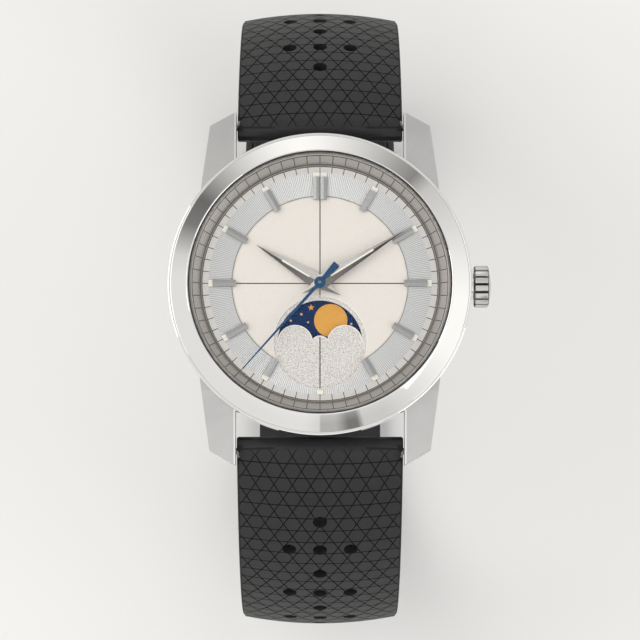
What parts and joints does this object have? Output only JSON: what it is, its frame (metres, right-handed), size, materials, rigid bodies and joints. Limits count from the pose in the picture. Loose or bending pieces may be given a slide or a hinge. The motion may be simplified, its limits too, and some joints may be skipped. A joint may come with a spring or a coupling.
{
  "type": "wristwatch",
  "caption": "Round steel wristwatch with a moon phase window, lugs, fluted crown, and a curved rubber strap with a pin buckle.",
  "frame": {"origin": "centre of the case back's outer face", "axes": "+Z out through the dial, +Y towards 12, +X towards the crown"},
  "size_m": [0.0383, 0.0774, 0.0736],
  "materials": {
    "brushed_case_steel": "brushed",
    "polished_steel": "polished",
    "movement_steel": "circular brushed",
    "gilt_brass": "gilt",
    "gold_figures": "polished",
    "sapphire": "polished",
    "seal_rubber": "matte",
    "strap_rubber": "matte with fine grooves",
    "silver_flange": "satin",
    "cream_dial": "guilloche ring and matt centre",
    "grained_plate": "grained",
    "lume": "matte",
    "hand_steel": "faceted and polished",
    "blued_steel": "blued",
    "navy_lacquer": "gloss"
  },
  "bodies": {
    "watch_head": {"case_body": "brushed_case_steel", "bezel": "polished_steel", "crystal": "sapphire", "crystal_gasket": "seal_rubber", "rehaut": "silver_flange", "dial_plate": "cream_dial", "moon_plate": "grained_plate", "hour_markers": "hand_steel", "lume_pips": "lume", "module_posts": "movement_steel", "mainplate": "movement_steel", "movement_ring": "movement_steel", "case_clamps": "movement_steel", "clamp_screws": "movement_steel", "barrel_bridge": "movement_steel", "train_bridge": "movement_steel", "bridge_screws": "movement_steel", "hairspring": "blued_steel", "balance_cock": "movement_steel", "rotor_bearing": "movement_steel", "caseback_ring": "brushed_case_steel", "caseback_glass": "sapphire", "caseback_gasket": "seal_rubber", "crown_tube": "movement_steel", "spring_bar_12": "polished_steel", "spring_bar_6": "polished_steel"},
    "hour_hand": {"hour_hand": "hand_steel", "hour_wheel": "gilt_brass"},
    "minute_hand": {"minute_hand": "hand_steel", "cannon_pinion": "movement_steel"},
    "seconds_hand": {"seconds_hand": "blued_steel", "seconds_arbor": "movement_steel"},
    "minute_wheel": {"minute_wheel": "gilt_brass"},
    "day_wheel": {"day_wheel": "gilt_brass"},
    "reduction_wheel": {"reduction_wheel": "gilt_brass"},
    "moon_idler": {"moon_idler": "gilt_brass"},
    "moon_disc": {"moon_disc": "navy_lacquer", "moon_figures": "gold_figures"},
    "barrel": {"barrel": "gilt_brass"},
    "balance": {"balance_wheel": "gilt_brass"},
    "rotor": {"rotor": "movement_steel"},
    "winding_pinion": {"winding_pinion": "movement_steel"},
    "crown": {"crown": "polished_steel", "crown_gasket": "seal_rubber", "stem": "movement_steel"},
    "strap_12": {"strap_buckle_half": "strap_rubber", "fixed_keeper": "strap_rubber"},
    "strap_6": {"strap_tail_half": "strap_rubber"},
    "free_keeper": {"free_keeper": "strap_rubber"},
    "buckle": {"buckle_frame": "polished_steel", "buckle_bar": "polished_steel"},
    "tang": {"buckle_tang": "polished_steel"}
  },
  "joints": [
    {"name": "minute_hand_turn", "type": "hinge", "parent": "watch_head", "child": "minute_hand", "pos_m": [0, 0, 0.00851], "axis": [0, 0, 1], "continuous": true},
    {"name": "hour_hand_turn", "type": "hinge", "parent": "watch_head", "child": "hour_hand", "pos_m": [0, 0, 0.00815], "axis": [0, 0, 1], "continuous": true},
    {"name": "seconds_hand_turn", "type": "hinge", "parent": "watch_head", "child": "seconds_hand", "pos_m": [0, 0, 0.00887], "axis": [0, 0, 1], "continuous": true},
    {"name": "minute_wheel_turn", "type": "hinge", "parent": "watch_head", "child": "minute_wheel", "pos_m": [0.00282, 0.00103, 0.0059], "axis": [0, 0, 1], "continuous": true},
    {"name": "day_wheel_turn", "type": "hinge", "parent": "watch_head", "child": "day_wheel", "pos_m": [-0.00255, 0.00255, 0.0059], "axis": [0, 0, 1], "continuous": true},
    {"name": "reduction_wheel_turn", "type": "hinge", "parent": "watch_head", "child": "reduction_wheel", "pos_m": [-0.00546, 0.00134, 0.0059], "axis": [0, 0, 1], "continuous": true},
    {"name": "moon_idler_turn", "type": "hinge", "parent": "watch_head", "child": "moon_idler", "pos_m": [-0.00701, -0.00211, 0.0059], "axis": [0, 0, 1], "continuous": true},
    {"name": "moon_disc_turn", "type": "hinge", "parent": "watch_head", "child": "moon_disc", "pos_m": [0, -0.007, 0.0059], "axis": [0, 0, 1], "continuous": true},
    {"name": "barrel_turn", "type": "hinge", "parent": "watch_head", "child": "barrel", "pos_m": [0.0049, 0.00411, 0.0031], "axis": [0, 0, 1], "continuous": true},
    {"name": "balance_swing", "type": "hinge", "parent": "watch_head", "child": "balance", "pos_m": [-0.00371, -0.00594, 0.0031], "axis": [0, 0, 1], "range_deg": [-150, 150], "stiffness_Nm_per_rad": 0.000001},
    {"name": "rotor_turn", "type": "hinge", "parent": "watch_head", "child": "rotor", "pos_m": [0, 0, 0.00135], "axis": [0, 0, 1], "continuous": true},
    {"name": "crown_turn", "type": "hinge", "parent": "watch_head", "child": "winding_pinion", "pos_m": [0.0086, 0, 0.0045], "axis": [1, 0, 0], "continuous": true},
    {"name": "crown_pull", "type": "slide", "parent": "winding_pinion", "child": "crown", "axis": [1, 0, 0], "range_m": [0, 0.0009]},
    {"name": "strap_12_hinge", "type": "hinge", "parent": "watch_head", "child": "strap_12", "pos_m": [0, 0.01944, 0.00255], "axis": [1, 0, 0], "range_deg": [0, 70]},
    {"name": "strap_6_hinge", "type": "hinge", "parent": "watch_head", "child": "strap_6", "pos_m": [0, -0.01944, 0.00255], "axis": [-1, 0, 0], "range_deg": [0, 70]},
    {"name": "free_keeper_slide", "type": "hinge", "parent": "strap_12", "child": "free_keeper", "pos_m": [0, 0, -0.02881], "axis": [1, 0, 0], "range_deg": [0, 12]},
    {"name": "buckle_hinge", "type": "hinge", "parent": "strap_12", "child": "buckle", "pos_m": [0, 0.02073, -0.05862], "axis": [1, 0, 0], "range_deg": [-30, 20]},
    {"name": "tang_hinge", "type": "hinge", "parent": "buckle", "child": "tang", "pos_m": [0, 0.02073, -0.05862], "axis": [1, 0, 0], "range_deg": [0, 70]}
  ],
  "couplings": [
    {"joint": "minute_hand_turn", "follows": "seconds_hand_turn", "ratio": 0.016667},
    {"joint": "hour_hand_turn", "follows": "seconds_hand_turn", "ratio": 0.0013889},
    {"joint": "minute_wheel_turn", "follows": "seconds_hand_turn", "ratio": -0.0055556},
    {"joint": "day_wheel_turn", "follows": "seconds_hand_turn", "ratio": -0.00069444},
    {"joint": "reduction_wheel_turn", "follows": "seconds_hand_turn", "ratio": 0.00011574},
    {"joint": "moon_idler_turn", "follows": "seconds_hand_turn", "ratio": -0.00001929},
    {"joint": "moon_disc_turn", "follows": "seconds_hand_turn", "ratio": 0.00001177},
    {"joint": "barrel_turn", "follows": "seconds_hand_turn", "ratio": -0.002381}
  ]
}
